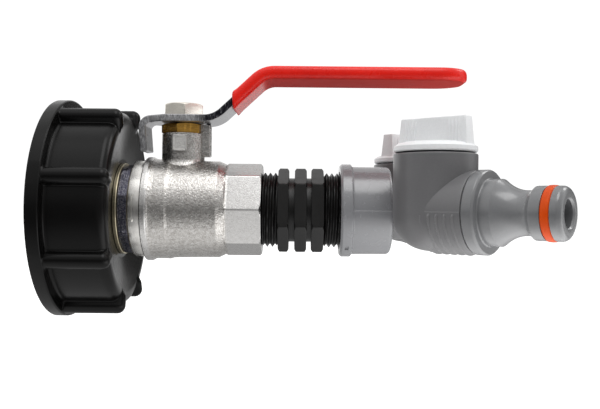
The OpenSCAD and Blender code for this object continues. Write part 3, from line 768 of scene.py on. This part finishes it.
def strip(line, half_t, edge_r, hw_of, ends=(0.3, 0.3), n=4):
    loops = []
    for i, p in enumerate(line):
        a, b = line[max(i - 1, 0)], line[min(i + 1, len(line) - 1)]
        d = ((b[0] - a[0]), (b[1] - a[1]))
        ln = math.hypot(*d)
        d = (d[0] / ln, d[1] / ln)
        if i == 0:
            loops.append(strip_section(p, d, hw_of(p[0]) - ends[0], half_t - ends[0], edge_r, n))
            loops.append(strip_section((p[0] + d[0] * ends[0] * 0.3, p[1] + d[1] * ends[0] * 0.3), d, hw_of(p[0]) - 0.3 * ends[0], half_t - 0.3 * ends[0], edge_r, n))
            loops.append(strip_section((p[0] + d[0] * ends[0], p[1] + d[1] * ends[0]), d, hw_of(p[0]), half_t, edge_r, n))
            continue
        if i == len(line) - 1:
            loops.append(strip_section(p, d, hw_of(p[0]), half_t - ends[1], edge_r, n))
            continue
        loops.append(strip_section(p, d, hw_of(p[0]), half_t, edge_r, n))
    return loft(loops, STEM_M)


ear = stop_block(18.5, 27, 27.2, 30.6, 8.3, 9.8, 0.3)
piece("lever_strip", [strip(lever_line, 1.2, 0.32, lever_hw, (0.35, 0.35)), placed(ear, STEM_M)], "lever", STEEL, ["lever"], sharp=35)

start = (11.8 + 7.6, mid_z + 7.6 * math.tan(math.radians(RISE_A)))
sl_reach = reach + 1.1
sleeve_line = dense([start] + arc_pts(11.8 + rise_run + k2, grip_z - 9, 9, 90 + RISE_A, 90, 14) + [(sl_reach - 10.3, grip_z)], 2.0)
sleeve_tip = [(sl_reach - 10.3 + 10.3 * math.sin(math.radians(a)), grip_z) for a in (6, 12, 18, 24, 30, 36, 42, 48, 54, 60, 65, 70, 74, 78, 81, 84, 86, 88, 90)]


def sleeve_hw(x):
    hw, rc = 10.6, 10.3
    if x > sl_reach - rc:
        q = min(1.0, (x - sl_reach + rc) / rc)
        return hw - rc + rc * math.sqrt(max(0.0, 1 - q * q))
    return hw


def sleeve_mesh():
    line = sleeve_line + sleeve_tip
    loops = []
    d0 = (math.cos(math.radians(RISE_A)), math.sin(math.radians(RISE_A)))

    def slanted(loop, centre, share):
        # the mouth is cut nearly upright, so its lower side reaches further down the slope
        out = []
        for x, y, z in loop:
            w = (z - centre[1]) * d0[0] - (x - centre[0]) * d0[1]
            s = -0.75 * share * (2.48 - w)
            out.append((x + d0[0] * s, y, z + d0[1] * s))
        return out

    # the open lip, rounded from the strip's own surface out to the skin
    for back, ht, hw in ((2.2, 1.22, 9.55), (0.45, 1.24, 9.57), (0.1, 1.5, 9.8), (0.0, 1.85, 10.1), (0.08, 2.15, 10.4), (0.35, 2.4, 10.65), (0.8, 2.48, 10.75), (1.5, 2.4, 10.65), (2.6, 2.3, 10.6)):
        centre = (start[0] + d0[0] * back, start[1] + d0[1] * back)
        loops.append(slanted(strip_section(centre, d0, hw, ht, 0.3 if ht < 1.4 else min(2.05, ht - 0.25), 6), centre, 1.0))
    for i, p in enumerate(line):
        if p[0] - start[0] < 2.4:
            continue
        a, b = line[max(i - 1, 0)], line[min(i + 1, len(line) - 1)]
        d = (b[0] - a[0], b[1] - a[1])
        ln = math.hypot(*d)
        d = (d[0] / ln, d[1] / ln)
        ht = 2.3
        to_end = sl_reach - p[0]
        if to_end < 2.3:
            ht = 0.3 + 2.0 * math.sqrt(max(0.0, 1 - (1 - to_end / 2.3) ** 2))
        hw = sleeve_hw(p[0])
        loops.append(slanted(strip_section(p, d, hw, ht, min(2.05, ht * 0.9, hw * 0.85), 6), p, 1.0 - sstep(p[0] - start[0], 2.0, 8.0)))
    return loft(loops, STEM_M)


piece("lever_sleeve_skin", [sleeve_mesh()], "lever", RED, ["lever_sleeve"], sharp=50)


# ---------------------------------------------------------------- the double nipple

PITCH = 1.814
NIP_TURN = -7 + 30


def nipple_profile(theta):
    rh = min(poly_r(14.9 * math.cos(math.radians(30)), 6, theta, NIP_TURN, 160), 15.3)

    def threaded(x0, x1, lead):
        out, x = [], x0
        while x < x1 - 0.01:
            ph = ((x - lead) / PITCH + theta / 360.0) % 1.0
            v = abs(2 * ph - 1)
            v = min(1.0, max(0.0, (v - 0.1) / 0.82))
            fade = min(sstep(x, x0 - 0.05, x0 + 0.5), sstep(x1 - x, -0.05, 0.5))
            out.append((12.02 + (13.08 - 12.02) * v * fade, x))
            x += PITCH / 15
        return out

    def hexa(x0, x1):
        ch = max(0.0, rh - 14.1) * 0.55
        foot = min(13.9, rh - 0.15)
        return fil([(11.2, x0, 0.3), (foot, x0, 0.1), (rh, x0 + 0.14 + ch, 0.2), (rh, x1 - 0.14 - ch, 0.2), (foot, x1, 0.1), (11.2, x1, 0.3)], 3, False)

    pts = fil([(8.5, 60.3), (12.3, 60.3, 0.2), (12.7, 60.8, 0.2), (12.7, 70.5)], 3, False)
    pts += threaded(70.65, 76.0, 70.6) + hexa(76.1, 79.9) + hexa(81.9, 86.1) + hexa(87.7, 92.0) + threaded(92.1, 97.55, 92.2)
    pts += fil([(12.6, 97.7), (12.6, 104.5, 0.2), (12.1, 105, 0.2), (8.5, 105)], 3, False)
    return pts


nip_thetas = sorted(set(poly_thetas(6, NIP_TURN, step=2.5)))
piece("nipple_black", [polar(nipple_profile, nip_thetas, ALONG_X)], "adapter", NIPPLE, ["double_nipple"], sharp=40)


# ---------------------------------------------------------------- the union nut and its gasket

def union_profile(theta):
    # a small drive notch low on the rim
    off = abs((theta - 322 + 180) % 360 - 180)
    cut = 0.5 * (1 - sstep(off, 3.2, 4.0))
    # the mould's parting line on both sides
    part = 0.05 * max(0.0, 1 - min(abs((theta - 270 + 180) % 360 - 180), abs((theta - 90 + 180) % 360 - 180)) / 0.35)
    return fil([(13.7, 97.6, 0.1), (15.6, 97.6, 0.15), (16.3, 98.3, 0.3), (16.3, 99.2), (16.3 - cut, 99.25), (16.3 - cut, 100.4), (16.3, 100.45), (16.3, 101.4, 0.35), (15.42 + part, 101.95, 0.35),
                (15.36 + part, 106), (15.3 + part, 115.2, 1.7), (12.6, 115.22, 0.3), (10.2, 115.2, 0.25), (10.2, 110.2), (13.4, 110.2), (13.4, 98.6), (13.7, 98.2)], 6)


union_thetas = sorted(set([2.5 * i for i in range(144)] + [round(322 + s * a, 3) for a in (3.2, 3.6, 4.0) for s in (-1, 1)] + [c + o for c in (90, 270) for o in (-0.35, -0.18, 0.18, 0.35)]))
piece("union_nut_grey", [polar(union_profile, union_thetas, ALONG_X)], "union_nut", UNION, ["union_nut"], sharp=32)
piece("union_gasket_ring", [revolve([(8, 105.1, 0.2), (12.2, 105.1, 0.2), (12.2, 107.25, 0.2), (8, 107.25, 0.2)], ALONG_X, 96)], "distributor", RUBBER, ["union_gasket"])


# ---------------------------------------------------------------- the distributor

OUT_R = 12.65


def outlet_profile(theta):
    # local 0 degrees is straight down, so the lower half carries the ribs
    low = abs((theta + 180) % 360 - 180)
    m = 1 - sstep(low, 84.5, 88.5)
    part = 0.07 * max(0.0, 1 - abs(low - 90) / 0.8)
    pts = [(8.0, 0.0), (OUT_R, 0.0)]
    for s in (1.9, 4.6, 7.2, 9.8, 12.4):
        for ds, h in ((-0.62, 0), (-0.45, 0.04), (-0.3, 0.26), (-0.17, 0.43), (0, 0.47), (0.17, 0.43), (0.3, 0.26), (0.45, 0.04), (0.62, 0)):
            pts.append((OUT_R + part + h * m, s + ds))
    pts += [(OUT_R + part, 14.45), (OUT_R - 0.07, 14.62), (OUT_R - 0.2, 14.7), (9.3, 14.7), (9.3, 8.0)]
    return pts


def barrel_small(side):
    m = shift(TAP_X, side * TAP_Y, 0)
    bottom = [(13.1 * math.cos(math.radians(a)) ** 0.87, -12.3 * math.sin(math.radians(a)) ** 0.87) for a in [1, 2] + list(range(4, 89, 4))]
    pts = [(8.1, 15.5), (8.1, 17.7), (8.3, 18.0)] + [(p[0], p[1]) for p in fil([(8.3, 18.0), (13.1, 18.0, 0.5), (13.1, 8.0), (13.1, 0.25)], 5, False)[1:]]
    pts += [(13.1, 0.0)] + bottom + [(0, -12.3)]
    return polar(lambda t: pts + [(0, -11), (5.0, -10.5), (5.0, 15.5)], [2.5 * i for i in range(144)], m, closed=False)


def rib_angles():
    out = set(4.0 * i for i in range(90))
    for c in (86.5, -86.5):
        for o in (-2, -1, 0, 1, 2):
            out.add((c + o) % 360)
    for c in (90, 270):
        for o in (-0.8, -0.4, 0, 0.4, 0.8):
            out.add(c + o)
    return sorted(out)


dist_parts = [revolve([(7, 107.35, 0.1), (10.4, 107.35, 0.2), (11, 108, 0.2), (11, 109.7, 0.2), (9.85, 109.95), (9.85, 124), (7, 124)], ALONG_X, 120)]
CROSS = shift(TAP_X + 0.4, 0, 0) @ Matrix.Rotation(math.radians(90), 4, "X")
dist_parts.append(revolve([(6, -24), (9.6, -24), (9.6, 24), (6, 24)], CROSS, 120))
for side in (-1, 1):
    dist_parts.append(barrel_small(side))
    dist_parts.append(polar(outlet_profile, rib_angles(), outlet_m(side) @ ALONG_X))
piece("distributor_grey", dist_parts, "distributor", BODY, ["distributor_body"], sharp=30)


# ---------------------------------------------------------------- knobs, hose connectors and nose rings

def wing(z, lx, ty, rib=0.0, corner=0.7):
    """A plan outline of the knob's wing at one height, with its grip ribs."""
    half = []
    xs = [lx]
    x = lx
    pts = []
    ribs = (6.0, 7.2, 8.4, 9.6)

    def bumpy(x):
        best = 0.0
        for c in ribs:
            d = abs(abs(x) - c)
            best = max(best, 1 - sstep(d, 0.16, 0.42))
        return best * rib

    side_x = [-lx + corner]
    step = 0.15
    x = -lx + corner
    while x < lx - corner:
        x += step if abs(x) > 5.2 and abs(x) < 10.2 else 0.8
        side_x.append(min(x, lx - corner))
    for x in side_x:
        pts.append((x, -(ty + bumpy(x)), z))
    for k in range(1, 5):
        a = math.radians(-90 + 18 * k)
        pts.append((lx - corner + corner * math.cos(a), -(ty - corner) + corner * math.sin(a), z))
    for k in range(0, 5):
        a = math.radians(18 * k)
        pts.append((lx - corner + corner * math.cos(a), (ty - corner) + corner * math.sin(a), z))
    for x in reversed(side_x):
        pts.append((x, ty + bumpy(x), z))
    for k in range(1, 5):
        a = math.radians(90 + 18 * k)
        pts.append((-lx + corner + corner * math.cos(a), (ty - corner) + corner * math.sin(a), z))
    for k in range(0, 5):
        a = math.radians(180 + 18 * k)
        pts.append((-lx + corner + corner * math.cos(a), -(ty - corner) + corner * math.sin(a), z))
    return pts


def wing_mesh(m):
    loops = []
    levels = [(20.8, 12.0, 3.0, 0.0), (21.4, 11.95, 2.95, 0.0), (21.8, 11.9, 2.9, 0.28), (24.0, 11.75, 2.72, 0.28), (26.0, 11.6, 2.52, 0.28), (27.8, 11.48, 2.36, 0.26), (28.2, 11.44, 2.32, 0.1), (28.6, 11.42, 2.29, 0.0)]
    count = None
    for z, lx, ty, rib in levels:
        loops.append((z, lx, ty, rib))
    for k in range(1, 6):
        a = math.radians(18 * k)
        loops.append((29.05 + 0.4 * math.sin(a), 11.4 - 0.4 * (1 - math.cos(a)), 2.26 - 0.4 * (1 - math.cos(a)), 0.0))
    base = wing(0, 11.9, 2.9, 0.0)
    out = []
    for z, lx, ty, rib in loops:
        shape = wing(z, 11.9, 2.9, rib)
        sx, sy = lx / 11.9, ty / 2.9
        out.append([(p[0] * sx, p[1] * sy, z) for p in shape])
    return loft(out, m)


for side, who in ((-1, "near"), (1, "far")):
    om = outlet_m(side)
    knob_parts = [
        revolve([(0, 18.5), (12.2, 18.5), (12.55, 18.52, 0.1), (13.0, 18.95, 0.3), (13.0, 20.2, 0.35), (11.7, 21.18, 0.4), (9.8, 21.62, 0.5), (0, 21.85)], om, 144, False, 5),
        wing_mesh(om),
        revolve([(0, 5.8), (4.8, 5.8), (4.8, 15.8), (7.7, 15.8), (7.7, 18.7), (0, 18.7)], om, 72, False)]
    piece(f"{who}_knob_white", knob_parts, f"{who}_tap", KNOB, [f"{who}_knob"], sharp=32)
    waist = [(10 - 3.4 * (1 - (1 - t / 12) ** 2), 22.4 + 7.8 * t / 12) for t in range(1, 13)]
    nose = [(7.87 - 1.9 + 1.9 * math.cos(math.radians(a)), 40.0 + 1.9 * math.sin(math.radians(a))) for a in range(10, 91, 10)]
    conn = fil([(4, 9), (8.6, 9), (8.6, 10.6), (7.9, 10.6), (7.9, 12.4), (9.2, 12.4), (9.2, 14.85), (12.45, 14.85, 0.2), (12.8, 15.3, 0.3), (12.8, 18.1, 0.45), (12.3, 18.6, 0.3), (10.05, 18.65, 0.45), (10.0, 22.4)], 4, False)
    conn += waist + fil([(6.6, 31.4), (6.75, 31.7), (7.25, 32.25, 0.3), (7.8, 32.8, 0.25), (7.87, 33.4), (7.87, 36, 0.18), (6.9, 36.02), (6.9, 38.78), (7.87, 38.8, 0.18)], 4, False) + nose
    conn += fil([(5.97, 41.9), (4.5, 41.9, 0.25), (4.0, 41.35, 0.3), (4.0, 30)], 4, False)
    piece(f"{who}_connector_grey", [polar(lambda t: conn, [2.5 * i for i in range(144)], om @ ALONG_X)], "distributor", CONNECTOR, [f"{who}_connector"], sharp=32)
    piece(f"{who}_nose_seal", [revolve([(6.92, 36.08), (7.6, 36.06, 0.1), (8.05, 36.45, 0.3), (8.1, 37.4, 0.8), (8.05, 38.35, 0.3), (7.6, 38.74, 0.1), (6.92, 38.72)], om @ ALONG_X, 144)],
          "distributor", ORANGE, [f"{who}_nose_ring"], sharp=50)

# the closed-in parts keep their CAD shape and get the right finish
for names, material in ((("valve_ball", "near_ball", "far_ball"), CHROME),
                        (("inlet_ball_seal", "outlet_ball_seal", "thrust_washer", "stem_packing"), PTFE),
                        (("near_ball_seal", "far_ball_seal", "near_knob_ring", "far_knob_ring", "near_connector_ring", "far_connector_ring"), RUBBER)):
    for name in names:
        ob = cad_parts[name]
        for s in ob.material_slots:
            s.material = material
        if not ob.material_slots:
            ob.data.materials.append(material)

# ---------------------------------------------------------------- floor, light and camera

FLOOR_Z = -0.075
me = bpy.data.meshes.new("floor")
me.from_pydata([(0.08 + 2.6 * math.cos(math.radians(5 * i)), 2.6 * math.sin(math.radians(5 * i)), FLOOR_Z) for i in range(72)], [], [tuple(range(72))])
floor = bpy.data.objects.new("floor", me)
bpy.context.scene.collection.objects.link(floor)
fm, ft, fb = new_material("pale_floor")
put(ft, fb, ramp(ft, noise(ft, 6, 2, 0.5), [(0.3, (0.80, 0.80, 0.80)), (0.7, (0.82, 0.82, 0.82))]), 0.7)
fb.inputs["Emission Color"].default_value = (1, 1, 1, 1)
fb.inputs["Emission Strength"].default_value = 0.45
# what the floor sends back to the part: a bright sheet in front, dimmer under the part
bounce = ft.nodes.new("ShaderNodeEmission")
ft.links.new(ramp(ft, span(ft, axis_part(ft, 1), -0.5, 0.5, 0.0, 1.0), [(0.0, 0.10), (0.21, 0.11), (0.30, 0.26), (0.38, 0.52), (0.43, 0.84), (0.47, 0.80), (0.51, 0.46), (0.56, 0.34), (0.66, 0.42), (1.0, 0.52)]), bounce.inputs["Color"])
# stronger under the plastic end, in front
ft.links.new(calc(ft, "ADD", calc(ft, "MULTIPLY", span(ft, axis_part(ft, 0), 0.085, 0.135, 0.0, 2.0), span(ft, axis_part(ft, 1), 0.0, 0.08, 1.0, 0.0)), 1.4), bounce.inputs["Strength"])
floor_mix = ft.nodes.new("ShaderNodeMixShader")
ft.links.new(ft.nodes.new("ShaderNodeLightPath").outputs["Is Camera Ray"], floor_mix.inputs["Fac"])
ft.links.new(bounce.outputs[0], floor_mix.inputs[1])
ft.links.new(fb.outputs["BSDF"], floor_mix.inputs[2])
ft.links.new(floor_mix.outputs[0], [n for n in ft.nodes if n.type == "OUTPUT_MATERIAL"][0].inputs["Surface"])
me.materials.append(fm)

world = bpy.data.worlds.new("studio")
bpy.context.scene.world = world
world.use_nodes = True
wt = world.node_tree
wt.nodes.clear()
wo = wt.nodes.new("ShaderNodeOutputWorld")
bg_cam = wt.nodes.new("ShaderNodeBackground")
bg_cam.inputs["Color"].default_value = (1, 1, 1, 1)
bg_cam.inputs["Strength"].default_value = 1.05
bg_light = wt.nodes.new("ShaderNodeBackground")
tc = wt.nodes.new("ShaderNodeTexCoord")


# tone by the angle round the main axis: -180 back, -90 down, 0 front, 90 up
sep = wt.nodes.new("ShaderNodeSeparateXYZ")
wt.links.new(tc.outputs["Generated"], sep.inputs[0])
turn = calc(wt, "ARCTAN2", sep.outputs[2], calc(wt, "MULTIPLY", sep.outputs[1], -1.0))
SKY = [(-180, 1.0), (-140, 0.98), (-110, 0.92), (-86, 0.66), (-58, 0.59), (-34, 0.45), (-22, 0.20), (-14, 0.10), (-4, 0.10), (4, 0.15), (18, 0.42), (34, 0.62), (52, 0.74), (80, 0.84), (106, 1.0), (126, 0.60), (150, 0.62), (180, 1.0)]
level = ramp(wt, span(wt, turn, -math.pi, math.pi, 0.0, 1.0), [((a + 180) / 360, v) for a, v in SKY])
# dark behind and to the right, where the cap's shoulder looks
behind = calc(wt, "MULTIPLY", span(wt, sep.outputs[0], 0.06, 0.22, 0.0, 1.0), span(wt, sep.outputs[1], 0.25, 0.5, 0.0, 1.0))
low_band = calc(wt, "MULTIPLY", behind, span(wt, calc(wt, "ABSOLUTE", sep.outputs[2]), 0.30, 0.5, 0.95, 0.35))
level = blend_col(wt, low_band, level, (0.02, 0.018, 0.016))
wt.links.new(level, bg_light.inputs["Color"])
bg_light.inputs["Strength"].default_value = 1.42
lp = wt.nodes.new("ShaderNodeLightPath")
mx = wt.nodes.new("ShaderNodeMixShader")
wt.links.new(lp.outputs["Is Camera Ray"], mx.inputs["Fac"])
wt.links.new(bg_light.outputs[0], mx.inputs[1])
wt.links.new(bg_cam.outputs[0], mx.inputs[2])
wt.links.new(mx.outputs[0], wo.inputs["Surface"])


def softbox(name, at, look, size, radiance, color=(1, 1, 1)):
    d = bpy.data.lights.new(name, "AREA")
    d.shape = "RECTANGLE"
    d.size, d.size_y = size
    d.energy = radiance * math.pi * size[0] * size[1]
    d.color = color
    o = bpy.data.objects.new(name, d)
    bpy.context.scene.collection.objects.link(o)
    o.location = at
    o.rotation_euler = (Vector(look) - Vector(at)).to_track_quat("-Z", "Y").to_euler()
    return o


softbox("key", (0.05, -0.45, 0.95), (0.08, 0, 0.0), (1.10, 0.60), 0.7)
softbox("side", (0.95, 0.38, 0.80), (0.05, 0, 0.0), (0.35, 0.35), 4.0)
softbox("right", (0.17, -0.16, 0.40), (0.13, 0, 0.0), (0.20, 0.30), 2.9)

cam = bpy.data.cameras.new("camera")
cam.sensor_fit = "HORIZONTAL"
cam.sensor_width = 36.0
cam.lens = 735.0 / 600.0 * 36.0
cam.shift_y = 1.0 / 600.0
cam.clip_start = 0.01
camera = bpy.data.objects.new("camera", cam)
bpy.context.scene.collection.objects.link(camera)
camera.matrix_world = Matrix.Translation((0.0838, -0.260, 0.0016)) @ Matrix.Rotation(math.radians(90), 4, "X") @ Matrix.Rotation(math.radians(0.55), 4, "Z")
bpy.context.scene.camera = camera
bpy.context.scene.view_settings.view_transform = "Standard"

bpy.context.view_layer.update()
